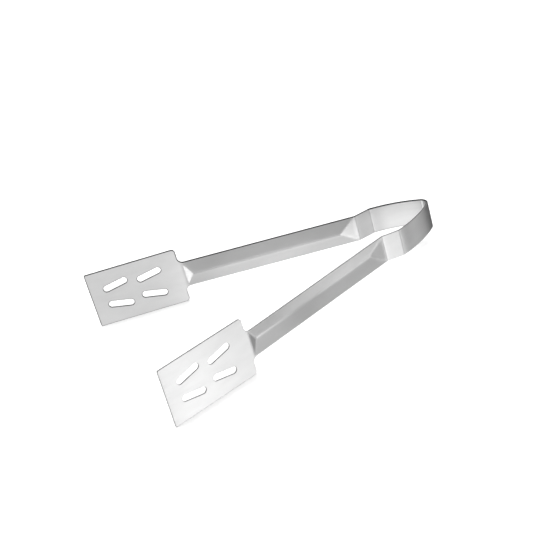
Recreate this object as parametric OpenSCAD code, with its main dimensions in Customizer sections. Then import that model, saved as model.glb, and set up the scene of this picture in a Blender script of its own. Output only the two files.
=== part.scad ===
// Spring loaded kitchen tongs, bent from one strip of stainless steel sheet.
// The strip lies on edge: it rises along +Z, the blade tips point to -X and the bow is at +X.
// The origin is the middle of the outline, at the height of the blades' lower edges.
// "left" is the -Y half and "right" the +Y half, as held by the bow with the tips ahead.

/* [Overall] */
// Length from the front of the blades to the outside of the bow
overall_len = 240; // [200:1:320]
// Thickness of the sheet
sheet_t = 1; // [0.6:0.1:1.6]
// Width of the strip that makes the arms and the bow
strip_w = 20; // [16:0.5:26]

/* [Bow] */
// Radius of the tight bend at the end of the bow, at mid sheet
nose_r = 6.8; // [4:0.2:10]
// Angle that the tight bend turns through on each side
nose_angle = 48.5; // [40:0.5:60]
// Radius of the bow's gently arched sides, at mid sheet
side_r = 88; // [70:1:140]
// Length of each arched side, along the sheet
side_len = 37; // [30:0.5:45]
// Distance along each side from the tight bend to the line where it flexes
flex_at = 20; // [10:0.5:25]

/* [Shoulders] */
// Radius of the fold between the bow and each flat shoulder, at mid sheet
bow_fold_r = 4; // [1.5:0.5:6]
// Radius of the fold between each shoulder and its arm, at mid sheet
arm_fold_r = 2; // [1:0.5:5]
// Length of the flat between the two folds
shoulder_len = 11.8; // [6:0.5:20]
// Angle by which the flat leans in towards the other arm
shoulder_lean = 7; // [2:0.5:12]

/* [Arms] */
// Angle between each open arm and the middle of the tongs
arm_angle = 19; // [17:0.5:22]
// Depth of the stiffening crease pressed into each arm
crease_depth = 3; // [1:0.1:4]
// Length of the flat facet in which the crease runs out at the shoulder
shoulder_runout = 13; // [6:0.5:20]
// Length of the flat facet in which the crease runs out at the blade
blade_runout = 6.8; // [4:0.2:12]
// Softening of the crease lines, as a share of the depth
crease_soft_share = 0.2; // [0.05:0.05:0.4]

/* [Blades] */
// Length of each blade without its neck
blade_len = 68.4; // [60:0.2:80]
// Width of each blade
blade_w = 44; // [36:1:60]
// Angle between each open blade and the middle of the tongs
blade_angle = 15.4; // [8:0.2:16]
// Length of the neck between the arm and the blade
neck_len = 2.2; // [1:0.2:6]
// Radius of the fillets from the neck into the blade
neck_fillet_r = 4; // [1:0.5:5]
// Radius of the blade's front corners
front_corner_r = 1.2; // [0.5:0.1:5]
// Radius of the blade's corners beside the neck
rear_corner_r = 2.8; // [0.5:0.1:5]

/* [Drain slots] */
// Number of slots along each row
slot_count = 2; // [1:1:2]
// Width of each slot
slot_w = 5; // [2:0.5:6]
// Length of each slot with its round ends
slot_len = 18.8; // [12:0.2:22]
// Angle by which the rows' slots spread apart towards the arm
slot_tilt = 11.5; // [0:0.5:15]
// Distance from the blade's middle line to the middle of each slot
slot_offset = 8; // [7:0.5:11]
// Distance from the front of the blade to the middle of the first slot
slot_first = 19.8; // [14:0.2:24]
// Distance between the middles of the slots along a row
slot_pitch = 25.6; // [24:0.2:30]

/* [Hidden] */
$fn = 96;
// Largest turn between the points of an arc along the sheet
arc_step = 3;
steel = [0.78, 0.78, 0.77];

// The strip is centred on the blades' middle height.
mid_z = blade_w / 2;
strip_z = mid_z - strip_w / 2;

// A place on the path of the sheet is [x, y, heading in degrees].
function run(p, len) = [p.x + len * cos(p[2]), p.y + len * sin(p[2]), p[2]];
function bend(p, r, turn) =
    let (side = sign(turn), heading = p[2] + turn)
    [
        p.x + side * r * (sin(heading) - sin(p[2])),
        p.y - side * r * (cos(heading) - cos(p[2])),
        heading
    ];
function arc_turn(len, r) = len / r * 180 / PI;
function arc(p, r, turn) =
    let (steps = ceil(abs(turn) / arc_step))
    [for (k = [0:steps]) bend(p, r, turn * k / steps)];
function beside(p, out) = [p.x - out * sin(p[2]), p.y + out * cos(p[2])];

// The right half's path, from the middle of the bow to the front of the blade.
crown_turn = arc_turn(flex_at, side_r);
leaf_turn = arc_turn(side_len - flex_at, side_r);
bow_middle = [overall_len / 2 - sheet_t / 2, 0, 90];
nose_end = bend(bow_middle, nose_r, nose_angle);
flex_line = bend(nose_end, side_r, crown_turn);
leaf_end = bend(flex_line, side_r, leaf_turn);
shoulder_turn = 180 + shoulder_lean - leaf_end[2];
shoulder_flat = bend(leaf_end, bow_fold_r, shoulder_turn);
shoulder_flat_end = run(shoulder_flat, shoulder_len);
arm_turn = -shoulder_lean - arm_angle;
arm_start = bend(shoulder_flat_end, arm_fold_r, arm_turn);

// The arm takes up what the other lengths leave of the overall length.
blade_reach = (neck_len + blade_len) * cos(blade_angle) + sheet_t / 2 * sin(blade_angle);
arm_len = (arm_start.x + overall_len / 2 - blade_reach) / cos(arm_angle);
arm_end = run(arm_start, arm_len);
neck_start = [arm_end.x, arm_end.y, 180 - blade_angle];

// Places its children so that +X follows the path and +Y faces the other half.
module along(p) {
    translate([p.x, p.y, 0])
        rotate([0, 0, p[2]])
            children();
}

// The strip set up on edge along a list of places, with its sheet centred on them.
module strip(path) {
    last = len(path) - 1;
    inner = [for (k = [0:last]) beside(path[k], sheet_t / 2)];
    outer = [for (k = [last:-1:0]) beside(path[k], -sheet_t / 2)];
    translate([0, 0, strip_z])
        linear_extrude(strip_w)
            polygon(concat(inner, outer));
}

// The neck's fillets run on over the fold and widen the last of the arm.
fillet_rest = max(neck_fillet_r - neck_len, 0);
function flare(s) =
    let (into = max(fillet_rest - (arm_len - s), 0))
    neck_fillet_r - sqrt(neck_fillet_r ^ 2 - into ^ 2);
function half_width(s) = strip_w / 2 + flare(s);

// Height of the pressed crease over the flat strip, at a length and a share of the half width.
// It is a hipped roof with softened lines, whose long slopes meet on the strip's middle line.
function soft_min(a, b) =
    let (
        width = max(min(crease_soft_share, a + b), 0.001),
        near = max(width - abs(a - b), 0) / width
    )
    min(a, b) - near * near * width / 4;
function crease_height(s, share) =
    let (
        slopes = soft_min(1 - share, 1 + share),
        ends = min(s / shoulder_runout, (arm_len - s) / blade_runout, 1)
    )
    crease_depth * soft_min(slopes, ends);

// Lines of points across and along the arm. The hips of the roof run through their crossings,
// so the same shares set the places across the half width and along the run-outs.
SHARES = [0, 0.05, 0.1, 0.2, 0.4, 0.7, 1];
LAST = len(SHARES) - 1;
arm_shares = concat([for (k = [LAST:-1:1]) -SHARES[k]], SHARES);
arm_s = concat(
    [for (k = [LAST:-1:0]) (1 - SHARES[k]) * shoulder_runout],
    [for (share = SHARES) arm_len - (1 - share) * blade_runout]
);

module creased_strip() {
    cols = len(arm_shares);
    rows = len(arm_s);
    back = rows * cols;
    points = [
        for (y = [-sheet_t / 2, sheet_t / 2])
            for (s = arm_s)
                for (share = arm_shares)
                    [s, y + crease_height(s, share), mid_z + share * half_width(s)]
    ];
    // The cells' diagonals follow the hips, which slope one way in each quarter of the arm.
    cells = [
        for (i = [0:rows - 2])
            for (j = [0:cols - 2])
                let (
                    a = i * cols + j,
                    b = a + 1,
                    c = a + cols + 1,
                    d = a + cols,
                    outward = (i < rows / 2) == (j < (cols - 1) / 2)
                )
                each outward ? [[a, c, b], [a, d, c]] : [[a, d, b], [b, d, c]]
    ];
    long_edges = [
        for (i = [0:rows - 2])
            let (low = i * cols, high = low + cols - 1)
            each [
                [low, low + cols, low + cols + back, low + back],
                [high, high + back, high + cols + back, high + cols]
            ]
    ];
    short_edges = [
        for (j = [0:cols - 2])
            let (near = j, far = (rows - 1) * cols + j)
            each [
                [near, near + back, near + 1 + back, near + 1],
                [far, far + 1, far + 1 + back, far + back]
            ]
    ];
    polyhedron(points, concat(
        [for (f = cells) [f[0], f[2], f[1]]],
        [for (f = cells) [for (v = f) v + back]],
        long_edges,
        short_edges
    ));
}

// The patch between a square corner and the round that touches both of its sides.
module corner_patch(r) {
    difference() {
        square(r);
        translate([r, r])
            circle(r);
    }
}

module slot_outline() {
    straight = slot_len - slot_w;
    square([straight, slot_w], center = true);
    for (end = [-1, 1])
        translate([end * straight / 2, 0])
            circle(d = slot_w);
}

// The blade's outline, with x from the neck to the front and y up from the middle line.
module blade_outline() {
    front = neck_len + blade_len;
    difference() {
        union() {
            translate([-fillet_rest - sheet_t, -strip_w / 2])
                square([front / 2, strip_w]);
            translate([neck_len, -blade_w / 2])
                square([blade_len, blade_w]);
            for (up = [0, 1])
                mirror([0, up])
                    translate([neck_len, strip_w / 2])
                        rotate(90)
                            corner_patch(neck_fillet_r);
        }
        for (up = [0, 1])
            mirror([0, up]) {
                translate([neck_len, blade_w / 2])
                    rotate(-90)
                        corner_patch(rear_corner_r);
                translate([front, blade_w / 2])
                    rotate(180)
                        corner_patch(front_corner_r);
                for (k = [0:slot_count - 1])
                    translate([front - slot_first - k * slot_pitch, slot_offset])
                        rotate(-slot_tilt)
                            slot_outline();
            }
    }
}

// Pieces of the right half.
module spring_leaf() {
    color(steel)
        strip(arc(flex_line, side_r, leaf_turn));
}

module shoulder() {
    color(steel)
        strip(concat(
            arc(leaf_end, bow_fold_r, shoulder_turn),
            arc(shoulder_flat_end, arm_fold_r, arm_turn)
        ));
}

module arm() {
    color(steel)
        along(arm_start)
            creased_strip();
}

// The flat blade starts behind the fold and is cut off at the end of the arm.
module blade() {
    color(steel)
        difference() {
            along(neck_start)
                translate([0, sheet_t / 2, mid_z])
                    rotate([90, 0, 0])
                        linear_extrude(sheet_t)
                            blade_outline();
            along(arm_end)
                translate([-blade_w, -blade_w / 2, 0])
                    cube(blade_w);
        }
}

// The tight bend with the first stretch of both sides.
module bow_crown() {
    half = concat(
        arc(bow_middle, nose_r, nose_angle),
        arc(nose_end, side_r, crown_turn)
    );
    other_half = [for (k = [len(half) - 1:-1:1]) [half[k].x, -half[k].y, 180 - half[k][2]]];
    color(steel)
        strip(concat(other_half, half));
}

module left_half() {
    mirror([0, 1, 0])
        children();
}

bow_crown();
left_half() spring_leaf();  // left_spring_leaf
left_half() shoulder();  // left_shoulder
left_half() arm();  // left_arm
left_half() blade();  // left_blade
spring_leaf();  // right_spring_leaf
shoulder();  // right_shoulder
arm();  // right_arm
blade();  // right_blade
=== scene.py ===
"""Spring loaded kitchen tongs, pressed and folded from one strip of stainless steel sheet.

The sheet is worked as a press shop works it. A flat blank is cut with its rounded rims and
its drain slots, a Geometry Nodes tree presses the crease into the arm and folds the blank
step by step from the blade back to the bow, and the same tree stands each half in place.
"""

import math

import bmesh
import bpy
import numpy as np
from mathutils import Matrix, Vector, geometry


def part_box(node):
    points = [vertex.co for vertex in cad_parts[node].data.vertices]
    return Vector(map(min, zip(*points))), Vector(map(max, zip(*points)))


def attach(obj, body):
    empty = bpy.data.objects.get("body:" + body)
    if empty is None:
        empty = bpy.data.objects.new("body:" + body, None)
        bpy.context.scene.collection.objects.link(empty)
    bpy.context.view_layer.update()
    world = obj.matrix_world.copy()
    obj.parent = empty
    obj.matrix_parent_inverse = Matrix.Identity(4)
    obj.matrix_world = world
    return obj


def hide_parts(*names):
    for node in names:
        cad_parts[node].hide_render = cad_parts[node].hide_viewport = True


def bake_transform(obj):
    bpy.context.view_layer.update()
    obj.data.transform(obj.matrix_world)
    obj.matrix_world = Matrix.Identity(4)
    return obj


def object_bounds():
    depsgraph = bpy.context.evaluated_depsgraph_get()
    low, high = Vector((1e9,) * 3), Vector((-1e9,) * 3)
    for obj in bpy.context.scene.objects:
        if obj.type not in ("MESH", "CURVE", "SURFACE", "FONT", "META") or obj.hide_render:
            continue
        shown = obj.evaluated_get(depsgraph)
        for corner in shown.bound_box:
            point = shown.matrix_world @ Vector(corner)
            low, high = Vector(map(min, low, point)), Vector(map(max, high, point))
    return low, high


bl_info = {
    "name": "Spring Kitchen Tongs",
    "version": (1, 0, 0),
    "blender": (4, 5, 0),
    "location": "View3D > Sidebar > Tongs",
    "description": "Builds the finished look of one-piece stainless steel kitchen tongs",
    "category": "Object",
}

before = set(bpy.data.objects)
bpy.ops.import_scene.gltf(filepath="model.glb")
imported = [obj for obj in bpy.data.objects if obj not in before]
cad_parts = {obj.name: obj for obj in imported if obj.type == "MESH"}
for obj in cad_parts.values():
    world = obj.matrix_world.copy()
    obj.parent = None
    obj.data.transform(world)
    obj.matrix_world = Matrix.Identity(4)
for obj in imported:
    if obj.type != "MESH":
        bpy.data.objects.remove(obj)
CAD_LOW, CAD_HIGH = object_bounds()
STRIP_LOW, STRIP_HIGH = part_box("bow_crown")
MM = 0.001
MATH = "ShaderNodeMath"
STEEL = "stainless_steel_brushed_sheet"


def hex_to_linear(code):
    """An sRGB hex colour as a linear RGBA tuple."""
    channels = [int(code.lstrip("#")[k : k + 2], 16) / 255 for k in (0, 2, 4)]
    return (
        *(c / 12.92 if c <= 0.04045 else ((c + 0.055) / 1.055) ** 2.4 for c in channels),
        1.0,
    )


# ---------------------------------------------------------------- sizes and colours


def length(name, description, mm, **limits):
    """A length property in metres whose default is given in millimetres."""
    return bpy.props.FloatProperty(
        name=name,
        description=description,
        default=mm * MM,
        min=0.0,
        precision=5,
        subtype="DISTANCE",
        unit="LENGTH",
        **limits,
    )


def turn(name, description, degrees):
    """An angle property whose default is given in degrees."""
    return bpy.props.FloatProperty(
        name=name,
        description=description,
        default=math.radians(degrees),
        subtype="ANGLE",
        unit="ROTATION",
    )


class SheetSizes(bpy.types.PropertyGroup):
    """The strip and how it is folded between the bow and the arms."""

    sheet_t: length("Sheet thickness", "Thickness of the steel sheet", 1.0)
    rim_r: length("Rim radius", "Radius left on the deburred rims of the sheet", 0.3)
    nose_r: length("Nose radius", "Radius of the tight bend at the end of the bow", 6.8)
    nose_angle: turn("Nose angle", "Turn of the tight bend on each side", 48.5)
    side_r: length("Side radius", "Radius of the bow's arched sides", 88.0)
    side_len: length("Side length", "Length of each arched side along the sheet", 37.0)
    bow_fold_r: length("Bow fold radius", "Radius of the fold into the shoulder", 4.0)
    arm_fold_r: length("Arm fold radius", "Radius of the fold into the arm", 2.0)
    blade_fold_r: length("Blade fold radius", "Radius of the fold into the blade", 2.0)
    shoulder_len: length("Shoulder length", "Length of the flat between the folds", 11.8)
    shoulder_lean: turn("Shoulder lean", "Angle by which the flat leans inwards", 7.0)
    arm_angle: turn("Arm angle", "Angle between an open arm and the middle", 19.0)
    blade_angle: turn("Blade angle", "Angle between an open blade and the middle", 15.4)


class CreaseSizes(bpy.types.PropertyGroup):
    """The stiffening crease pressed into each arm."""

    depth: length("Depth", "Depth of the crease on its middle line", 3.0)
    shoulder_runout: length("Shoulder run-out", "Ramp at the shoulder end of the crease", 13.0)
    blade_runout: length("Blade run-out", "Ramp at the blade end of the crease", 6.8)
    softness: bpy.props.FloatProperty(
        name="Softness",
        description="Rounding of the crease lines, as a share of the depth",
        default=0.3,
        min=0.01,
        max=0.8,
        subtype="FACTOR",
    )


class BladeSizes(bpy.types.PropertyGroup):
    """The blade's outline and its drain slots."""

    blade_len: length("Blade length", "Length of a blade without its neck", 68.4)
    neck_len: length("Neck length", "Length of the neck behind the blade", 2.2)
    neck_fillet_r: length("Neck fillet", "Radius from the neck into the blade", 4.0)
    front_corner_r: length("Front corner", "Radius of the blade's front corners", 1.2)
    rear_corner_r: length("Rear corner", "Radius of the corners beside the neck", 2.8)
    slot_w: length("Slot width", "Width of each drain slot", 5.0)
    slot_len: length("Slot length", "Length of each slot with its round ends", 18.8)
    slot_tilt: turn("Slot tilt", "Angle by which the rows spread to the arm", 11.5)
    slot_offset: length("Slot offset", "Middle line to the middle of a slot", 8.0)
    slot_first: length("First slot", "Blade front to the middle of the first slot", 19.8)
    slot_pitch: length("Slot pitch", "Distance between slots along a row", 25.6)
    slot_count: bpy.props.IntProperty(
        name="Slots per row", description="Number of slots in each row", default=2, min=1
    )


class SteelColours(bpy.types.PropertyGroup):
    """Colours of the brushed stainless steel, of the painted shade on its rims and crease, and of the
    floor.
    """

    face: bpy.props.FloatVectorProperty(
        name="Brushed face",
        description="Colour of the brushed faces of the sheet",
        default=hex_to_linear("#C4C4C4"),
        size=4,
        min=0.0,
        max=1.0,
        subtype="COLOR",
    )
    # Painted shade: this near-black darkens the rims, the slot walls and a band along each crease, in
    # place of the dark reflections there.
    rim: bpy.props.FloatVectorProperty(
        name="Cut rim",
        description="Colour of the sheared and tumbled rims of the sheet",
        default=hex_to_linear("#303030"),
        size=4,
        min=0.0,
        max=1.0,
        subtype="COLOR",
    )
    floor: bpy.props.FloatVectorProperty(
        name="Floor",
        description="Colour of the plain floor",
        default=hex_to_linear("#F4F4F4"),
        size=4,
        min=0.0,
        max=1.0,
        subtype="COLOR",
    )


def stations():
    """Distances along the sheet, from the middle of the bow, where each bend starts, with each turn."""
    s = bpy.context.scene.tongs_sheet
    b = bpy.context.scene.tongs_blade
    side_turn = s.side_len / s.side_r
    heading = math.pi / 2 + s.nose_angle + side_turn
    bow_turn = math.pi + s.shoulder_lean - heading
    arm_turn = -s.shoulder_lean - s.arm_angle
    at = {"nose": 0.0, "side": s.nose_r * s.nose_angle}
    at["bow_fold"] = at["side"] + s.side_len
    at["shoulder"] = at["bow_fold"] + s.bow_fold_r * bow_turn
    at["arm_fold"] = at["shoulder"] + s.shoulder_len
    at["arm"] = at["arm_fold"] - s.arm_fold_r * arm_turn
    turns = {
        "nose": s.nose_angle,
        "side": side_turn,
        "bow_fold": bow_turn,
        "arm_fold": arm_turn,
        "blade_fold": s.arm_angle - s.blade_angle,
    }
    # The arm takes up what the folds and the blade leave of the frame's own length.
    arm_x = walk([(s.nose_r, s.nose_angle), (s.side_r, side_turn), (s.bow_fold_r, bow_turn)])
    arm_x = walk([(None, s.shoulder_len), (s.arm_fold_r, arm_turn)], *arm_x)
    reach = (b.neck_len + b.blade_len) * math.cos(s.blade_angle)
    reach += s.sheet_t / 2 * math.sin(s.blade_angle)
    at["blade_fold"] = at["arm"] + (arm_x[0] - CAD_LOW.x - reach) / math.cos(s.arm_angle)
    at["neck"] = at["blade_fold"] - max(b.neck_fillet_r - b.neck_len, 0.0)
    at["front"] = at["blade_fold"] + b.neck_len + b.blade_len
    return at, turns


def walk(steps, x=None, y=0.0, heading=math.pi / 2):
    """Where a path ends, as x, y and heading. A step is (radius, turn) or (None, length)."""
    if x is None:
        x = CAD_HIGH.x - bpy.context.scene.tongs_sheet.sheet_t / 2
    for radius, amount in steps:
        if radius is None:
            x += amount * math.cos(heading)
            y += amount * math.sin(heading)
            continue
        side = math.copysign(1.0, amount)
        x += side * radius * (math.sin(heading + amount) - math.sin(heading))
        y -= side * radius * (math.cos(heading + amount) - math.cos(heading))
        heading += amount
    return x, y, heading


# ---------------------------------------------------------------- nodes


def add_node(tree, kind, links=None, **settings):
    """Adds a node, sets its properties and fills its sockets with values or other nodes' outputs."""
    node = tree.nodes.new(kind)
    node.location = (190 * (len(tree.nodes) % 10), -230 * (len(tree.nodes) // 10))
    for name, value in settings.items():
        setattr(node, name, value)
    for key, value in (links or {}).items():
        if isinstance(value, bpy.types.Node):
            value = value.outputs[0]
        if isinstance(value, bpy.types.NodeSocket):
            tree.links.new(value, node.inputs[key])
        else:
            node.inputs[key].default_value = value
    return node


def new_tree(name, inputs):
    """A Geometry Nodes tree with a geometry socket each way and the named float inputs."""
    tree = bpy.data.node_groups.new(name, "GeometryNodeTree")
    tree.interface.new_socket("Geometry", in_out="OUTPUT", socket_type="NodeSocketGeometry")
    tree.interface.new_socket("Geometry", in_out="INPUT", socket_type="NodeSocketGeometry")
    for label, kind in inputs:
        tree.interface.new_socket(label, in_out="INPUT", socket_type="NodeSocket" + kind)
    return tree, add_node(tree, "NodeGroupInput")


def crease_tree():
    """Presses the hipped crease into the flat arm, by lifting its points towards the other half."""
    tree, given = new_tree(
        "Press Crease",
        [
            (label, "Float")
            for label in (
                "Arm Start",
                "Blade Fold",
                "Half Width",
                "Fillet Start",
                "Fillet Radius",
                "Depth",
                "Shoulder Run-out",
                "Blade Run-out",
                "Softness",
            )
        ],
    )
    given = given.outputs
    along = add_node(tree, "GeometryNodeInputNamedAttribute", {"Name": "along"}, data_type="FLOAT")
    across = add_node(tree, "GeometryNodeInputNamedAttribute", {"Name": "across"}, data_type="FLOAT")
    # The neck's fillets widen the last of the arm, and the crease widens with it. It stops
    # following them where they have almost turned square to the arm.
    followed = 0.96
    fillet_r = given["Fillet Radius"]
    past = add_node(tree, MATH, {0: along, 1: given["Fillet Start"]}, operation="SUBTRACT")
    limit = add_node(tree, MATH, {0: fillet_r, 1: followed}, operation="MULTIPLY")
    into = add_node(tree, "ShaderNodeClamp", {"Value": past, "Min": 0.0, "Max": limit})
    square = add_node(tree, MATH, {0: into, 1: into}, operation="MULTIPLY")
    radius2 = add_node(tree, MATH, {0: fillet_r, 1: fillet_r}, operation="MULTIPLY")
    left = add_node(tree, MATH, {0: radius2, 1: square}, operation="SUBTRACT")
    root = add_node(tree, MATH, {0: left}, operation="SQRT")
    flare = add_node(tree, MATH, {0: fillet_r, 1: root}, operation="SUBTRACT")
    half = add_node(tree, MATH, {0: given["Half Width"], 1: flare}, operation="ADD")
    share = add_node(tree, MATH, {0: across, 1: half}, operation="DIVIDE")
    share = add_node(tree, "ShaderNodeClamp", {"Value": share, "Min": -1.0, "Max": 1.0})
    # The long slopes meet softly on the middle line.
    rise = add_node(tree, MATH, {0: 1.0, 1: share}, operation="ADD")
    fall = add_node(tree, MATH, {0: 1.0, 1: share}, operation="SUBTRACT")
    soft = given["Softness"]
    slopes = add_node(tree, MATH, {0: rise, 1: fall, 2: soft}, operation="SMOOTH_MIN")
    # It runs out in a straight ramp at each end, long at the shoulder and short at the blade.
    from_arm = add_node(tree, MATH, {0: along, 1: given["Arm Start"]}, operation="SUBTRACT")
    to_blade = add_node(tree, MATH, {0: given["Blade Fold"], 1: along}, operation="SUBTRACT")
    ramps = []
    for distance, run_out in ((from_arm, "Shoulder Run-out"), (to_blade, "Blade Run-out")):
        ramp = add_node(tree, MATH, {0: distance, 1: given[run_out]}, operation="DIVIDE")
        ramp = add_node(tree, MATH, {0: ramp, 1: 0.0, 2: soft}, operation="SMOOTH_MAX")
        ramps.append(ramp)
    ends = add_node(tree, MATH, {0: ramps[0], 1: ramps[1]}, operation="MINIMUM")
    ends = add_node(tree, MATH, {0: ends, 1: 1.0}, operation="MINIMUM")
    # Near the rims and the folds the softening shrinks, so the crease starts from nothing there.
    both = add_node(tree, MATH, {0: slopes, 1: ends}, operation="ADD")
    width = add_node(tree, MATH, {0: both, 1: soft}, operation="MINIMUM")
    height = add_node(tree, MATH, {0: slopes, 1: ends, 2: width}, operation="SMOOTH_MIN")
    height = add_node(tree, MATH, {0: height, 1: 0.0}, operation="MAXIMUM")
    lift = add_node(tree, MATH, {0: height, 1: given["Depth"]}, operation="MULTIPLY")
    offset = add_node(tree, "ShaderNodeCombineXYZ", {"Y": lift})
    moved = add_node(
        tree, "GeometryNodeSetPosition", {"Geometry": given["Geometry"], "Offset": offset}
    )
    add_node(tree, "NodeGroupOutput", {"Geometry": moved})
    return tree


def fold_tree():
    """Bends all of the sheet past one line round a radius. The sheet before the line stays flat."""
    tree, given = new_tree("Fold", [("Start", "Float"), ("Radius", "Float"), ("Turn", "Float")])
    given = given.outputs
    along = add_node(tree, "GeometryNodeInputNamedAttribute", {"Name": "along"}, data_type="FLOAT")
    side = add_node(tree, MATH, {0: given["Turn"]}, operation="SIGN")
    size = add_node(tree, MATH, {0: given["Turn"]}, operation="ABSOLUTE")
    bend_len = add_node(tree, MATH, {0: given["Radius"], 1: size}, operation="MULTIPLY")
    radius = add_node(tree, MATH, {0: given["Radius"], 1: side}, operation="MULTIPLY")
    past = add_node(tree, MATH, {0: along, 1: given["Start"]}, operation="SUBTRACT")
    used = add_node(tree, "ShaderNodeClamp", {"Value": past, "Min": 0.0, "Max": bend_len})
    angle = add_node(tree, MATH, {0: used, 1: radius}, operation="DIVIDE")
    here = add_node(tree, MATH, {0: given["Start"], 1: used}, operation="ADD")
    pivot = add_node(tree, "ShaderNodeCombineXYZ", {"X": here})
    place = add_node(tree, "GeometryNodeInputPosition")
    turned = add_node(
        tree,
        "ShaderNodeVectorRotate",
        {"Vector": place, "Center": pivot, "Angle": angle},
        rotation_type="Z_AXIS",
    )
    # The turned point moves from the straight line to its place on the arc.
    sine = add_node(tree, MATH, {0: angle}, operation="SINE")
    cosine = add_node(tree, MATH, {0: angle}, operation="COSINE")
    reach = add_node(tree, MATH, {0: sine, 1: radius}, operation="MULTIPLY")
    shift_x = add_node(tree, MATH, {0: reach, 1: used}, operation="SUBTRACT")
    versine = add_node(tree, MATH, {0: 1.0, 1: cosine}, operation="SUBTRACT")
    shift_y = add_node(tree, MATH, {0: versine, 1: radius}, operation="MULTIPLY")
    shift = add_node(tree, "ShaderNodeCombineXYZ", {"X": shift_x, "Y": shift_y})
    moved = add_node(
        tree,
        "GeometryNodeSetPosition",
        {"Geometry": given["Geometry"], "Position": turned, "Offset": shift},
    )
    add_node(tree, "NodeGroupOutput", {"Geometry": moved})
    return tree


FOLDS = ("Blade Fold", "Arm Fold", "Bow Fold", "Side", "Nose")


def press_tree(crease, fold):
    """Presses and folds a flat blank, from the blade back to the bow, and stands it in its place."""
    inputs = [(label + part, "Float") for label in FOLDS for part in (" Start", " Radius", " Turn")]
    inputs += [(s.name, "Float") for s in crease_inputs(crease)]
    inputs += [("Bow X", "Float"), ("Middle Z", "Float"), ("Side Sign", "Float"), ("Steel", "Material")]
    tree, given = new_tree("Press and Fold", inputs)
    given = given.outputs
    sheet = add_node(
        tree,
        "GeometryNodeGroup",
        {"Geometry": given["Geometry"], **{s.name: given[s.name] for s in crease_inputs(crease)}},
        node_tree=crease,
    )
    for label in FOLDS:
        sheet = add_node(
            tree,
            "GeometryNodeGroup",
            {
                "Geometry": sheet,
                **{part: given[f"{label} {part}"] for part in ("Start", "Radius", "Turn")},
            },
            node_tree=fold,
        )
    # The middle of the bow heads along +Y, and the left half is the right half's mirror image.
    place = add_node(tree, "GeometryNodeInputPosition")
    quarter = add_node(
        tree, "ShaderNodeVectorRotate", {"Vector": place, "Angle": math.pi / 2}, rotation_type="Z_AXIS"
    )
    corner = add_node(tree, "ShaderNodeCombineXYZ", {"X": given["Bow X"], "Z": given["Middle Z"]})
    stood = add_node(tree, "ShaderNodeVectorMath", {0: quarter, 1: corner}, operation="ADD")
    mirror = add_node(tree, "ShaderNodeCombineXYZ", {"X": 1.0, "Y": given["Side Sign"], "Z": 1.0})
    sided = add_node(tree, "ShaderNodeVectorMath", {0: stood, 1: mirror}, operation="MULTIPLY")
    sheet = add_node(tree, "GeometryNodeSetPosition", {"Geometry": sheet, "Position": sided})
    is_left = add_node(
        tree,
        "FunctionNodeCompare",
        {0: given["Side Sign"], 1: 0.0},
        data_type="FLOAT",
        operation="LESS_THAN",
    )
    sheet = add_node(tree, "GeometryNodeFlipFaces", {"Mesh": sheet, "Selection": is_left})
    sheet = add_node(tree, "GeometryNodeRealizeInstances", {"Geometry": sheet})
    sheet = add_node(tree, "GeometryNodeSetMaterial", {"Geometry": sheet, "Material": given["Steel"]})
    add_node(tree, "NodeGroupOutput", {"Geometry": sheet})
    return tree


def crease_inputs(tree):
    """The float inputs of the crease tree."""
    return [
        s
        for s in tree.interface.items_tree
        if s.in_out == "INPUT" and s.socket_type == "NodeSocketFloat"
    ]


def slot_tree():
    """Lays out one blade's drain slots as closed outlines, in two rows that spread to the arm."""
    tree, given = new_tree(
        "Drain Slots",
        [
            ("Slot Width", "Float"),
            ("Slot Length", "Float"),
            ("Slot Tilt", "Float"),
            ("Slot Offset", "Float"),
            ("First Slot", "Float"),
            ("Slot Pitch", "Float"),
            ("Slots per Row", "Int"),
            ("Steel", "Material"),
        ],
    )
    given = given.outputs
    outline = add_node(
        tree,
        "GeometryNodeCurvePrimitiveQuadrilateral",
        {"Width": given["Slot Length"], "Height": given["Slot Width"]},
    )
    # A shade under half the width, so that the round ends' corners don't meet in one point.
    end_share, corner_points = 0.49999, 12
    end_r = add_node(tree, MATH, {0: given["Slot Width"], 1: end_share}, operation="MULTIPLY")
    outline = add_node(
        tree,
        "GeometryNodeFilletCurve",
        {"Curve": outline, "Radius": end_r, "Count": corner_points, "Limit Radius": True},
        mode="POLY",
    )
    back = add_node(tree, MATH, {0: given["First Slot"], 1: -1.0}, operation="MULTIPLY")
    step = add_node(tree, MATH, {0: given["Slot Pitch"], 1: -1.0}, operation="MULTIPLY")
    rows = []
    for side in (1.0, -1.0):
        beside = add_node(tree, MATH, {0: given["Slot Offset"], 1: side}, operation="MULTIPLY")
        tilt = add_node(tree, MATH, {0: given["Slot Tilt"], 1: -side}, operation="MULTIPLY")
        first = add_node(tree, "ShaderNodeCombineXYZ", {"X": back, "Y": beside})
        between = add_node(tree, "ShaderNodeCombineXYZ", {"X": step})
        row = add_node(
            tree,
            "GeometryNodeMeshLine",
            {"Count": given["Slots per Row"], "Start Location": first, "Offset": between},
        )
        lean = add_node(tree, "ShaderNodeCombineXYZ", {"Z": tilt})
        rows.append(
            add_node(
                tree,
                "GeometryNodeInstanceOnPoints",
                {"Points": row, "Instance": outline, "Rotation": lean},
            )
        )
    slots = add_node(tree, "GeometryNodeJoinGeometry", {"Geometry": rows[0]})
    tree.links.new(rows[1].outputs[0], slots.inputs["Geometry"])
    slots = add_node(tree, "GeometryNodeRealizeInstances", {"Geometry": slots})
    slots = add_node(tree, "GeometryNodeCurveToMesh", {"Curve": slots})
    slots = add_node(tree, "GeometryNodeSetMaterial", {"Geometry": slots, "Material": given["Steel"]})
    add_node(tree, "NodeGroupOutput", {"Geometry": slots})
    return tree


def find_or_make(collection, name, maker):
    """A data block by name, made if it isn't there yet."""
    return collection.get(name) or maker()


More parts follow.
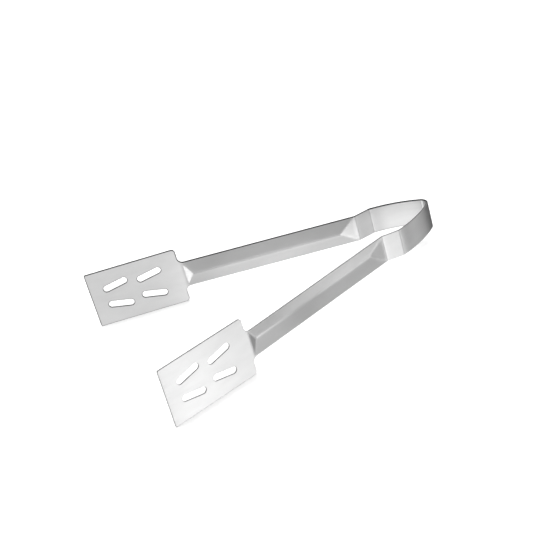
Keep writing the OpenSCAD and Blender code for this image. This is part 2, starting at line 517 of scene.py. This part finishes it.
def shaped(blank, tree, values):
    """The plain mesh that a tree makes of a blank."""
    worker = bpy.data.objects.new("worker", blank)
    bpy.context.scene.collection.objects.link(worker)
    modifier = worker.modifiers.new("shape", "NODES")
    modifier.node_group = tree
    for item in tree.interface.items_tree:
        if item.in_out == "INPUT" and item.name in values:
            modifier[item.identifier] = values[item.name]
    graph = bpy.context.evaluated_depsgraph_get()
    mesh = bpy.data.meshes.new_from_object(
        worker.evaluated_get(graph), preserve_all_data_layers=True, depsgraph=graph
    )
    worker.modifiers.remove(modifier)
    bpy.data.objects.remove(worker)
    bpy.data.meshes.remove(blank)
    return mesh


# ---------------------------------------------------------------- steel


def brushed_steel():
    """Austenitic stainless steel sheet, brushed along the strip and tumbled after pressing.

    The belt leaves grit lines along the strip, so a highlight stretches across it. The tumbled rims and
    the sheared walls of the slots are rougher than the faces, and painted shade darkens them and a band
    along each arm's crease.
    """
    smoothest, roughest, rim_roughness = 0.29, 0.35, 0.42
    grain = 0.8
    colours = bpy.context.scene.tongs_colours
    material = bpy.data.materials.new(STEEL)
    material.use_nodes = True
    tree = material.node_tree
    tree.nodes.clear()
    out = add_node(tree, "ShaderNodeOutputMaterial")
    sheet = add_node(tree, "ShaderNodeAttribute", attribute_name="sheet")
    rim = add_node(tree, "ShaderNodeAttribute", attribute_name="rim")
    # Belt lines are about 0.05 mm apart, too fine to show. They are drawn 0.5 mm apart across
    # the strip and 25 mm long.
    lines = add_node(
        tree,
        "ShaderNodeMapping",
        {"Vector": sheet.outputs["Vector"], "Scale": (1 / (25 * MM), 1 / (0.5 * MM), 1.0)},
    )
    grit = add_node(
        tree,
        "ShaderNodeTexNoise",
        {"Vector": lines, "Scale": 1.0, "Detail": 3.0, "Roughness": 0.6},
        noise_dimensions="2D",
    )
    # Faint clouds, about 30 mm long and 11 mm wide, are where the belt bore harder or less.
    cloudy = add_node(
        tree, "ShaderNodeMapping", {"Vector": sheet.outputs["Vector"], "Scale": (35.0, 90.0, 1.0)}
    )
    cloud = add_node(
        tree,
        "ShaderNodeTexNoise",
        {"Vector": cloudy, "Scale": 1.0, "Detail": 2.0, "Roughness": 0.5},
        noise_dimensions="2D",
    )
    rough = add_node(
        tree,
        "ShaderNodeMapRange",
        {"Value": grit, "From Min": 0.3, "From Max": 0.7, "To Min": smoothest, "To Max": roughest},
    )
    rough_rim = add_node(
        tree,
        "ShaderNodeMix",
        {"Factor": rim.outputs["Fac"], "A": rough, "B": rim_roughness},
        data_type="FLOAT",
    )
    shade = add_node(
        tree,
        "ShaderNodeMapRange",
        {"Value": cloud, "From Min": 0.3, "From Max": 0.7, "To Min": 0.97, "To Max": 1.03},
    )
    face = add_node(
        tree,
        "ShaderNodeMix",
        {"Factor": 1.0, 6: colours.face, 7: shade},
        data_type="RGBA",
        blend_type="MULTIPLY",
    )
    # Painted shade: the rim share mixes the face colour towards the near-black rim colour.
    colour = add_node(
        tree,
        "ShaderNodeMix",
        {"Factor": rim.outputs["Fac"], 6: face.outputs[2], 7: colours.rim},
        data_type="RGBA",
    )
    bump = add_node(
        tree, "ShaderNodeBump", {"Height": grit, "Strength": 0.12, "Distance": 0.03 * MM}
    )
    tangent = add_node(tree, "ShaderNodeTangent", direction_type="UV_MAP", uv_map="across_grain")
    shader = add_node(
        tree,
        "ShaderNodeBsdfPrincipled",
        {
            "Base Color": colour.outputs[2],
            "Metallic": 1.0,
            "Roughness": rough_rim,
            "Anisotropic": grain,
            "Normal": bump,
            "Tangent": tangent,
        },
    )
    tree.links.new(shader.outputs[0], out.inputs["Surface"])
    return material


# ---------------------------------------------------------------- blanks


# The lower rims carry only this share of the rims' painted shade, so they look brighter than the upper
# ones.
LOWER_RIM_SHADE = 0.3
# Neighbouring pieces meet in the shoulder's flat, this far from its folds, and this far before
# the neck. A short step beside such a seam keeps the shading even across it.
FOLD_GAP = 0.5 * MM
NECK_GAP = 1.0 * MM
SHORT_STEP = 0.02 * MM


def rim_profile(rim_shade=1.0, band=0.2 * MM):
    """Points round the sheet's rim, as (inset from the outline, height over mid sheet, rim share).

    On the face that looks at the other half, the rounded edge carries painted shade as dark as the
    first argument says, and the painted shade goes on past the rounding by band. The edge of the face
    that looks out carries less painted shade, so it is brighter.
    """
    s = bpy.context.scene.tongs_sheet
    half, r, steps = s.sheet_t / 2, s.rim_r, 5
    # The outer face's edge carries the first share of the painted shade, and on the inner face the
    # painted shade fades in over the second distance.
    outer_shade, fade = 0.4, 0.3 * MM
    inner = [(r + band + fade, half, 0.0), (r + band, half, 0.5 * rim_shade)]
    outer = [(r + band + fade, -half, 0.0), (r + band, -half, 0.0)]
    for k in range(steps + 1):
        a = math.pi / 2 * k / steps
        inset, drop = r * (1 - math.sin(a)), r * (1 - math.cos(a))
        inner.append((inset, half - drop, rim_shade))
        outer.append((inset, drop - half, outer_shade * min(1.0, k / 2)))
    return inner + outer[::-1]


def across_rows(flat, half_w):
    """Distances across the strip inside its flat, closest together on the crease's middle line."""
    shares = [0, 0.02, 0.04, 0.06, 0.08, 0.1, 0.125, 0.15]
    shares += [0.15 + 0.8 * k / 19 for k in range(1, 20)]
    rows = [share * half_w for share in shares if share * half_w < flat - 0.1 * MM]
    return [-w for w in reversed(rows[1:])] + rows


def spread(start, end, step, edge=SHORT_STEP):
    """Distances from start to end, about a step apart, with one short step at each end."""
    count = max(1, math.ceil((end - start - 2 * edge) / step))
    inner = [start + edge + (end - start - 2 * edge) * k / count for k in range(count + 1)]
    return [start, *inner, end]


def blank_mesh(name, points, faces, rims):
    """A flat blank from (along, out, across) points, with what the trees and the steel read."""
    mesh = bpy.data.meshes.new(name)
    mesh.from_pydata(points, [], faces)
    co = np.array(points, np.float32)
    for label, kind, field, values in (
        ("along", "FLOAT", "value", co[:, 0]),
        ("across", "FLOAT", "value", co[:, 2]),
        # rim is the share of painted shade and of extra roughness that each point takes.
        ("rim", "FLOAT", "value", np.array(rims, np.float32)),
        ("sheet", "FLOAT_VECTOR", "vector", co[:, [0, 2, 1]]),
    ):
        data = mesh.attributes.new(label, kind, "POINT").data
        data.foreach_set(field, np.ascontiguousarray(values).ravel())
    # U runs across the strip, so that the tangent, and with it the highlight, does too.
    uv_per_metre = 4.0
    layer = mesh.uv_layers.new(name="across_grain")
    corners = np.zeros(len(mesh.loops), np.int32)
    mesh.loops.foreach_get("vertex_index", corners)
    uv = co[corners][:, [2, 0]] * uv_per_metre
    layer.uv.foreach_set("vector", np.ascontiguousarray(uv).ravel())
    return mesh


def strip_blank(name, rows, *edge):
    """A straight length of the strip, as rings at the distances in rows. Its rims take edge."""
    half_w = (STRIP_HIGH.z - STRIP_LOW.z) / 2
    half_t = bpy.context.scene.tongs_sheet.sheet_t / 2
    rim = rim_profile(*edge)
    across = across_rows(half_w - rim[0][0], half_w)
    ring = [(w, half_t, 0.0) for w in across]
    ring += [(half_w - inset, height, share) for inset, height, share in rim]
    ring += [(w, -half_t, 0.0) for w in reversed(across)]
    # The lower rim carries less painted shade.
    ring += [(inset - half_w, height, LOWER_RIM_SHADE * share) for inset, height, share in reversed(rim)]
    points = [(s, out, w) for s in rows for w, out, _ in ring]
    rims = [share for _ in rows for _, _, share in ring]
    n, last = len(ring), (len(rows) - 1) * len(ring)
    faces = [
        (i * n + j, i * n + (j + 1) % n, (i + 1) * n + (j + 1) % n, (i + 1) * n + j)
        for i in range(len(rows) - 1)
        for j in range(n)
    ]
    faces += [tuple(reversed(range(n))), tuple(range(last, last + n))]
    return blank_mesh(name, points, faces, rims)


def crease_shaded(mesh):
    """An arm's blank, with painted shade darkening a band along the crease on its hollow face, which is
    also made rougher, so that the crease doesn't glint.
    """
    # Painted shade: the rim share, at most the first number, fades out over half_band to each side of
    # the crease's middle line.
    crease_shade, half_band = 0.34, 1.3 * MM
    at, _ = stations()
    c = bpy.context.scene.tongs_crease
    start, end = at["arm"] + c.shoulder_runout, at["blade_fold"] - c.blade_runout
    for vertex, rim in zip(mesh.vertices, mesh.attributes["rim"].data):
        along, out, across = vertex.co
        if out > 0 and start < along < end:
            rim.value = max(rim.value, crease_shade * (1 - abs(across) / half_band))
    return mesh


def quarter_arc(x, w, r, start, turn_sign, steps):
    """Points of a quarter circle round (x, w), from a start angle in degrees."""
    angles = [math.radians(start) + turn_sign * math.pi / 2 * k / steps for k in range(steps + 1)]
    return [(x + r * math.cos(a), w + r * math.sin(a)) for a in angles]


def blade_path(inset):
    """The blade's outline from the seam at the neck round the front and back, moved in by inset."""
    at, _ = stations()
    b = bpy.context.scene.tongs_blade
    half_w, half_b = (STRIP_HIGH.z - STRIP_LOW.z) / 2, (CAD_HIGH.z - CAD_LOW.z) / 2
    neck, seam = at["neck"], at["neck"] - NECK_GAP
    rear_x = neck + b.neck_fillet_r + b.rear_corner_r
    front_x = at["front"] - b.front_corner_r
    points = [(seam, half_w - inset), (seam + SHORT_STEP, half_w - inset)]
    points += quarter_arc(neck, half_w + b.neck_fillet_r, b.neck_fillet_r + inset, -90, 1, 16)
    points += quarter_arc(rear_x, half_b - b.rear_corner_r, b.rear_corner_r - inset, 180, -1, 10)
    points += quarter_arc(front_x, half_b - b.front_corner_r, b.front_corner_r - inset, 90, -1, 10)
    return points + [(x, -w) for x, w in reversed(points)]


def slot_loops(steel):
    """The drain slots' outlines, each as an array of points, from the Geometry Nodes layout."""
    b = bpy.context.scene.tongs_blade
    mesh = shaped(
        bpy.data.meshes.new("slot_layout"),
        find_or_make(bpy.data.node_groups, "Drain Slots", slot_tree),
        {
            "Slot Width": b.slot_w,
            "Slot Length": b.slot_len,
            "Slot Tilt": b.slot_tilt,
            "Slot Offset": b.slot_offset,
            "First Slot": b.slot_first,
            "Slot Pitch": b.slot_pitch,
            "Slots per Row": b.slot_count,
            "Steel": steel,
        },
    )
    bm = bmesh.new()
    bm.from_mesh(mesh)
    bmesh.ops.remove_doubles(bm, verts=bm.verts, dist=0.001 * MM)
    loops, seen = [], set()
    for start in bm.verts:
        if start in seen:
            continue
        loop, here = [], start
        while here not in seen:
            seen.add(here)
            loop.append((here.co.x, here.co.y))
            beside = [edge.other_vert(here) for edge in here.link_edges]
            here = next((vert for vert in beside if vert not in seen), here)
        loops.append(np.array(loop))
    bm.free()
    bpy.data.meshes.remove(mesh)
    return loops


def grown(loop, by):
    """A closed outline of points moved outwards."""
    ahead = np.roll(loop, -1, axis=0) - np.roll(loop, 1, axis=0)
    out = np.stack([ahead[:, 1], -ahead[:, 0]], axis=1) / np.linalg.norm(ahead, axis=1)[:, None]
    outward = np.sum(out * (loop - loop.mean(axis=0))) > 0
    return loop + (by if outward else -by) * out


def inside(point, loop, margin):
    """Whether a point lies in a closed outline, or within a negative margin of it.

    A positive margin asks that the point also keeps that distance from the outline.
    """
    x, w = point
    a, b = loop, np.roll(loop, -1, axis=0)
    crosses = (a[:, 1] > w) != (b[:, 1] > w)
    with np.errstate(divide="ignore", invalid="ignore"):
        at_x = a[:, 0] + (w - a[:, 1]) / (b[:, 1] - a[:, 1]) * (b[:, 0] - a[:, 0])
    is_in = bool(np.sum(crosses & (x < at_x)) % 2)
    if margin == 0:
        return is_in
    d = b - a
    t = np.clip(((np.array([x, w]) - a) * d).sum(1) / np.maximum((d * d).sum(1), 1e-18), 0, 1)
    near = np.linalg.norm(a + t[:, None] * d - np.array([x, w]), axis=1).min()
    return (is_in and near >= margin) if margin > 0 else (is_in or near < -margin)


def in_sheet(point, loops, margin):
    """Whether a point lies in the first outline and out of the others, clear of all by the margin."""
    return inside(point, loops[0], margin) and not any(inside(point, s, -margin) for s in loops[1:])


def blade_grid(across, seam, flat):
    """Points in the blade's flat: fine rows over the fold at the neck, then a coarse grid."""
    fine, coarse, row_step = 0.4 * MM, 2.2 * MM, 0.3 * MM
    at, _ = stations()
    half_w, half_b = (STRIP_HIGH.z - STRIP_LOW.z) / 2, (CAD_HIGH.z - CAD_LOW.z) / 2
    rows = spread(seam, at["blade_fold"] + 2.4 * MM, row_step)[1:]
    grid = [(x, w) for x in rows for w in across]
    beside = np.arange(flat + 0.1 * MM, half_w + 3.4 * MM, fine)
    grid += [(x, sign * w) for x in rows for w in beside for sign in (1, -1)]
    grid += [
        (x, w)
        for x in np.arange(rows[-1] + 1.5 * MM, at["front"], coarse)
        for w in np.arange(-half_b, half_b, coarse)
    ]
    return grid


def blade_blank(name, steel):
    """The slotted blade with its neck and the last of the arm, as a flat blank with rounded rims."""
    at, _ = stations()
    # The slot walls carry 0.8 of the painted shade, reaching 0.1 mm past the rounding.
    rim, slot_rim = rim_profile(), rim_profile(0.8, 0.1 * MM)
    half_t = bpy.context.scene.tongs_sheet.sheet_t / 2
    half_w = (STRIP_HIGH.z - STRIP_LOW.z) / 2
    slots = [loop + np.array([at["front"], 0.0]) for loop in slot_loops(steel)]
    outline = np.array(blade_path(rim[0][0]))
    seam = outline[0][0]
    flat = half_w - rim[0][0]
    across = across_rows(flat, half_w)
    loops = [np.vstack([outline, [(seam, w) for w in across]])]
    loops += [grown(slot, slot_rim[0][0]) for slot in slots]
    points, edges = [], []
    for loop in loops:
        first = len(points)
        points += [tuple(p) for p in loop]
        edges += [(first + k, first + (k + 1) % len(loop)) for k in range(len(loop))]
    clear = 0.2 * MM
    points += [p for p in blade_grid(across, seam, flat) if in_sheet(p, loops, clear)]
    every_triangle, same_place = 0, 1e-9
    flat_points, _, triangles, origin, _, _ = geometry.delaunay_2d_cdt(
        [Vector(p) for p in points], edges, [], every_triangle, same_place
    )
    middles = [sum((flat_points[v] for v in tri), Vector((0, 0))) / 3 for tri in triangles]
    skin = [tri for tri, middle in zip(triangles, middles) if in_sheet(middle, loops, 0.0)]
    output = {source: k for k, sources in enumerate(origin) for source in sources}
    count = len(flat_points)
    verts = [(p.x, half_t, p.y) for p in flat_points] + [(p.x, -half_t, p.y) for p in flat_points]
    rims = [0.0] * (2 * count)
    # The skin that faces the other half runs clockwise in the along and across plane.
    faces = [tuple(reversed(t)) for t in skin] + [tuple(v + count for v in t) for t in skin]
    first = 0
    for number, loop in enumerate(loops):
        is_slot = number > 0
        if is_slot:
            profile, around = slot_rim, len(loop)
            layers = [grown(slots[number - 1], inset) for inset, _, _ in profile]
        else:
            profile, around = rim, len(outline)
            layers = [np.array(blade_path(inset)) for inset, _, _ in profile]
        ids = [[output[first + k] for k in range(around)]]
        for (_, height, share), layer in list(zip(profile, layers))[1:-1]:
            ids.append(list(range(len(verts), len(verts) + around)))
            verts += [(x, height, w) for x, w in layer]
            # The outline's lower rims, short of the front, carry less painted shade.
            lower_rims = [not is_slot and w < 0 and x < at["front"] - 1.0 * MM for x, w in layer]
            rims += [share * (LOWER_RIM_SHADE if is_lower else 1.0) for is_lower in lower_rims]
        ids.append([output[first + k] + count for k in range(around)])
        for a, b in zip(ids, ids[1:]):
            for k in range(around if is_slot else around - 1):
                after = (k + 1) % around
                faces.append((a[k], a[after], b[after], b[k]))
        if not is_slot:
            seam_ids = [output[around + k] for k in range(len(across))]
            cap = [ring[0] for ring in ids] + [v + count for v in reversed(seam_ids)]
            cap += [ring[-1] for ring in reversed(ids)] + seam_ids
            faces.append(tuple(cap))
        first += len(loop)
    mesh = blank_mesh(name, verts, faces, rims)
    bm = bmesh.new()
    bm.from_mesh(mesh)
    bmesh.ops.remove_doubles(bm, verts=bm.verts, dist=0.0005 * MM)
    bmesh.ops.recalc_face_normals(bm, faces=bm.faces)
    bm.to_mesh(mesh)
    bm.free()
    return mesh


# ---------------------------------------------------------------- pieces


def press_values(side, steel):
    """The press tree's inputs for one half."""
    s = bpy.context.scene.tongs_sheet
    c = bpy.context.scene.tongs_crease
    b = bpy.context.scene.tongs_blade
    at, turns = stations()
    radii = {
        "nose": s.nose_r,
        "side": s.side_r,
        "bow_fold": s.bow_fold_r,
        "arm_fold": s.arm_fold_r,
        "blade_fold": s.blade_fold_r,
    }
    values = {}
    for label in FOLDS:
        key = label.lower().replace(" ", "_")
        values[label + " Start"] = at[key]
        values[label + " Radius"] = radii[key]
        values[label + " Turn"] = turns[key]
    values["Blade Fold Start"] -= s.blade_fold_r * math.tan(turns["blade_fold"] / 2)
    values.update(
        {
            "Arm Start": at["arm"],
            "Blade Fold": at["blade_fold"],
            "Half Width": (STRIP_HIGH.z - STRIP_LOW.z) / 2,
            "Fillet Start": at["neck"],
            "Fillet Radius": b.neck_fillet_r,
            "Depth": c.depth,
            "Shoulder Run-out": c.shoulder_runout,
            "Blade Run-out": c.blade_runout,
            "Softness": c.softness,
            "Bow X": CAD_HIGH.x - s.sheet_t / 2,
            "Middle Z": (CAD_LOW.z + CAD_HIGH.z) / 2,
            "Side Sign": side,
            "Steel": steel,
        }
    )
    return values


def pressed_piece(name, blank, side):
    """A blank pressed, folded and set in place as an object, smooth but for its hidden end cuts."""
    steel = find_or_make(bpy.data.materials, STEEL, brushed_steel)
    crease = find_or_make(bpy.data.node_groups, "Press Crease", crease_tree)
    fold = find_or_make(bpy.data.node_groups, "Fold", fold_tree)
    press = find_or_make(bpy.data.node_groups, "Press and Fold", lambda: press_tree(crease, fold))
    mesh = shaped(blank, press, press_values(side, steel))
    mesh.name = name
    mesh.polygons.foreach_set("use_smooth", [True] * len(mesh.polygons))
    mesh.set_sharp_from_angle(angle=math.radians(55))
    piece = bpy.data.objects.new(name, mesh)
    bpy.context.scene.collection.objects.link(piece)
    return piece


HALVES = (("left", -1.0), ("right", 1.0))


class TONGS_OT_bow(bpy.types.Operator):
    """Build the sprung bow, from its middle to the flat of each shoulder"""

    bl_idname = "tongs.bow"
    bl_label = "Bow"

    def execute(self, context):
        at, _ = stations()
        nose_step, side_step, fold_step = 0.25 * MM, 1.0 * MM, 0.15 * MM
        rows = spread(0.0, at["side"], nose_step)[:-1]
        rows += spread(at["side"], at["bow_fold"], side_step, 0.25 * MM)[:-1]
        rows += spread(at["bow_fold"], at["shoulder"], fold_step, 0.1 * MM)
        seam = at["shoulder"] + FOLD_GAP
        rows += [seam - SHORT_STEP, seam]
        apex = walk([])
        s = context.scene.tongs_sheet
        end = walk([(s.nose_r, s.nose_angle), (s.side_r, s.side_len / s.side_r)])
        # The bow's rims carry the full painted shade, reaching 0.5 mm past the rounding onto the faces.
        rim_shade, band = 1.0, 0.5 * MM
        for half, side in HALVES:
            blank = strip_blank("bow_blank", rows, rim_shade, band)
            piece = pressed_piece(f"{half}_bow_side", blank, side)
            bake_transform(piece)
            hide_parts("bow_crown", f"{half}_spring_leaf")
        return {"FINISHED"}


class TONGS_OT_shoulders(bpy.types.Operator):
    """Build the flat shoulders between the folds"""

    bl_idname = "tongs.shoulders"
    bl_label = "Shoulders"

    def execute(self, context):
        at, _ = stations()
        rows = spread(at["shoulder"] + FOLD_GAP, at["arm_fold"] - FOLD_GAP, 2.0 * MM)
        # The shoulders' rims carry 0.7 of the painted shade.
        rim_shade = 0.7
        for half, side in HALVES:
            blank = strip_blank("shoulder_blank", rows, rim_shade)
            piece = pressed_piece(f"{half}_shoulder_flat", blank, side)
            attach(piece, f"{half}_half")
            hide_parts(f"{half}_shoulder")
        return {"FINISHED"}


class TONGS_OT_arms(bpy.types.Operator):
    """Build the arms with their pressed crease"""

    bl_idname = "tongs.arms"
    bl_label = "Arms"

    def execute(self, context):
        at, _ = stations()
        c = context.scene.tongs_crease
        seam = at["arm_fold"] - FOLD_GAP
        rows = [seam, seam + SHORT_STEP]
        # Rows are close together in the fold and the run-outs, and far apart between them.
        fold_step, ramp_step, plain_step = 0.1 * MM, 0.3 * MM, 2.0 * MM
        rows += spread(at["arm_fold"], at["arm"], fold_step, 0.05 * MM)[:-1]
        ramp_end = at["arm"] + c.shoulder_runout + 1.0 * MM
        ramp_start = at["blade_fold"] - c.blade_runout - 1.5 * MM
        rows += spread(at["arm"], ramp_end, ramp_step, 0.1 * MM)[:-1]
        rows += spread(ramp_end, ramp_start, plain_step, 0.5 * MM)[:-1]
        rows += spread(ramp_start, at["neck"] - NECK_GAP, ramp_step)
        for half, side in HALVES:
            blank = crease_shaded(strip_blank("arm_blank", rows))
            piece = pressed_piece(f"{half}_creased_arm", blank, side)
            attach(piece, f"{half}_half")
            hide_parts(f"{half}_arm")
        return {"FINISHED"}


class TONGS_OT_blades(bpy.types.Operator):
    """Build the slotted blades with their necks"""

    bl_idname = "tongs.blades"
    bl_label = "Blades"

    def execute(self, context):
        steel = find_or_make(bpy.data.materials, STEEL, brushed_steel)
        for half, side in HALVES:
            piece = pressed_piece(f"{half}_slotted_blade", blade_blank("blade_blank", steel), side)
            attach(piece, f"{half}_half")
            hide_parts(f"{half}_blade")
        return {"FINISHED"}


# Satin steel shows the table round it, so most of its light comes from below the level of the
# floor. Each box is its name, watts, width and distance in metres, the azimuth and elevation it
# stands at, and the point in millimetres that it faces.
SOFT_BOXES = (
    ("overhead_light", 34.0, 2.0, 1.5, 0, 90, (0, 0, 18)),
    ("front_light", 0.083, 0.15, 0.25, 44, -31, (-65, -74, 25)),
    ("left_light", 0.32, 0.22, 0.5, -73, -27, (-45, 62, 18)),
    ("left_front_light", 0.265, 0.35, 0.5, -40, -25, (60, 20, 20)),
    ("bow_light", 0.122, 0.25, 0.3, -28, -35, (100, 18, 27)),
    ("back_light", 0.3, 0.4, 0.5, 178, -20, (0, 30, 18)),
    ("end_light", 0.033, 0.15, 0.3, 83, -28, (107, -16, 22)),
    ("shoulder_light", 0.022, 0.075, 0.26, 38.5, -26, (93, 20, 22)),
    ("arm_light", 0.072, 0.15, 0.35, 78, -52, (50, -39, 18)),
    ("table_light", 0.2, 0.6, 0.4, 0, -90, (0, 0, 18)),
)
FLOOR_HALF_SIZE = 8.0
# The camera looks down on the tongs from before them, a little towards the blades' end, and is
# turned about its own axis. Its distance and aim are in metres and its lens in millimetres.
CAMERA_BEARING = (-15.93, 28.15)
CAMERA_TURN = -16.3
CAMERA_DISTANCE = 0.9876
CAMERA_AIM = (-0.0024, 0.0095, 0.0)
CAMERA_LENS = 91.62


def bearing(azimuth, elevation):
    """The direction towards an azimuth, from -Y round to +X, and an elevation, in degrees."""
    a, e = math.radians(azimuth), math.radians(elevation)
    return Vector((math.sin(a) * math.cos(e), -math.cos(a) * math.cos(e), math.sin(e)))


def soft_box(name, watts, size, distance, azimuth, elevation, aim):
    """A square soft light that faces its aim."""
    back = bearing(azimuth, elevation)
    data = bpy.data.lights.new(name, "AREA")
    data.shape, data.size, data.energy = "SQUARE", size, watts
    lamp = bpy.data.objects.new(name, data)
    lamp.location = Vector(aim) * MM + back * distance
    lamp.rotation_mode = "QUATERNION"
    lamp.rotation_quaternion = back.to_track_quat("Z", "Y")
    bpy.context.scene.collection.objects.link(lamp)
    return lamp


def studio_world():
    """An even grey room with one dark, low corner behind the bow, which the bow's end mirrors."""
    dark_corner, grey, dark = bearing(132, -35), 0.65, 0.14
    world = bpy.data.worlds.new("studio")
    world.use_nodes = True
    tree = world.node_tree
    around = add_node(tree, "ShaderNodeTexCoord")
    behind = add_node(
        tree,
        "ShaderNodeVectorMath",
        {0: around.outputs["Generated"], 1: dark_corner},
        operation="DOT_PRODUCT",
    )
    level = add_node(
        tree,
        "ShaderNodeMapRange",
        {
            "Value": behind.outputs["Value"],
            "From Min": 0.53,
            "From Max": 0.8,
            "To Min": grey,
            "To Max": dark,
        },
    )
    tree.nodes["Background"].inputs["Color"].default_value = (1, 1, 1, 1)
    tree.links.new(level.outputs[0], tree.nodes["Background"].inputs["Strength"])
    return world


class TONGS_OT_stage(bpy.types.Operator):
    """Set up the floor, the soft studio light and the camera"""

    bl_idname = "tongs.stage"
    bl_label = "Stage"

    def execute(self, context):
        scene = context.scene
        colours = scene.tongs_colours
        middle = (CAD_LOW + CAD_HIGH) / 2

        paint = bpy.data.materials.new("matt_white_paper")
        paint.use_nodes = True
        shader = paint.node_tree.nodes["Principled BSDF"]
        shader.inputs["Base Color"].default_value = colours.floor
        shader.inputs["Roughness"].default_value = 0.9
        mesh = bpy.data.meshes.new("floor")
        corners = ((-1, -1), (1, -1), (1, 1), (-1, 1))
        level = CAD_LOW.z - 0.05 * MM
        mesh.from_pydata(
            [(x * FLOOR_HALF_SIZE, y * FLOOR_HALF_SIZE, level) for x, y in corners],
            [],
            [(0, 1, 2, 3)],
        )
        mesh.materials.append(paint)
        floor = bpy.data.objects.new("floor", mesh)
        scene.collection.objects.link(floor)

        # The boxes below the floor light and show in the steel as if the floor weren't there.
        floor.visible_glossy = False
        floor.visible_shadow = False
        scene.world = studio_world()
        for box in SOFT_BOXES:
            soft_box(*box)
        bpy.data.objects["overhead_light"].visible_glossy = False

        scene.view_settings.view_transform = "Standard"

        back, roll = bearing(*CAMERA_BEARING), math.radians(CAMERA_TURN)
        sideways = Vector((0, 0, 1)).cross(back).normalized()
        upright = back.cross(sideways)
        right = sideways * math.cos(roll) + upright * math.sin(roll)
        up = upright * math.cos(roll) - sideways * math.sin(roll)
        lens = bpy.data.cameras.new("camera")
        lens.lens, lens.sensor_width = CAMERA_LENS, 36.0
        lens.clip_start, lens.clip_end = 0.01, 50.0
        camera = bpy.data.objects.new("camera", lens)
        place = middle + Vector(CAMERA_AIM) + back * CAMERA_DISTANCE
        facing = Matrix((right, up, back)).transposed().to_4x4()
        camera.matrix_world = Matrix.Translation(place) @ facing
        scene.collection.objects.link(camera)
        scene.camera = camera
        return {"FINISHED"}


class VIEW3D_PT_tongs(bpy.types.Panel):
    """Sizes, colours and steps of the tongs"""

    bl_label = "Kitchen Tongs"
    bl_space_type = "VIEW_3D"
    bl_region_type = "UI"
    bl_category = "Tongs"

    def draw(self, context):
        for group in ("tongs_sheet", "tongs_crease", "tongs_blade", "tongs_colours"):
            box = self.layout.box()
            sizes = getattr(context.scene, group)
            for name in sizes.__annotations__:
                box.prop(sizes, name)
        for operator in STEPS:
            self.layout.operator(operator.bl_idname)


GROUPS = {
    "tongs_sheet": SheetSizes,
    "tongs_crease": CreaseSizes,
    "tongs_blade": BladeSizes,
    "tongs_colours": SteelColours,
}
STEPS = (TONGS_OT_stage, TONGS_OT_bow, TONGS_OT_shoulders, TONGS_OT_arms, TONGS_OT_blades)


def register():
    """Registers the classes and puts the sizes and colours on the scene."""
    for cls in (*GROUPS.values(), *STEPS, VIEW3D_PT_tongs):
        bpy.utils.register_class(cls)
    for name, cls in GROUPS.items():
        setattr(bpy.types.Scene, name, bpy.props.PointerProperty(type=cls))


def unregister():
    """Takes the sizes, the colours and the classes away again."""
    for name in GROUPS:
        delattr(bpy.types.Scene, name)
    for cls in (VIEW3D_PT_tongs, *reversed(STEPS), *reversed(list(GROUPS.values()))):
        bpy.utils.unregister_class(cls)


def main():
    """Builds the stage and the tongs."""
    register()
    bpy.ops.tongs.stage()
    bpy.ops.tongs.bow()
    bpy.ops.tongs.shoulders()
    bpy.ops.tongs.arms()
    bpy.ops.tongs.blades()


if __name__ == "__main__":
    main()
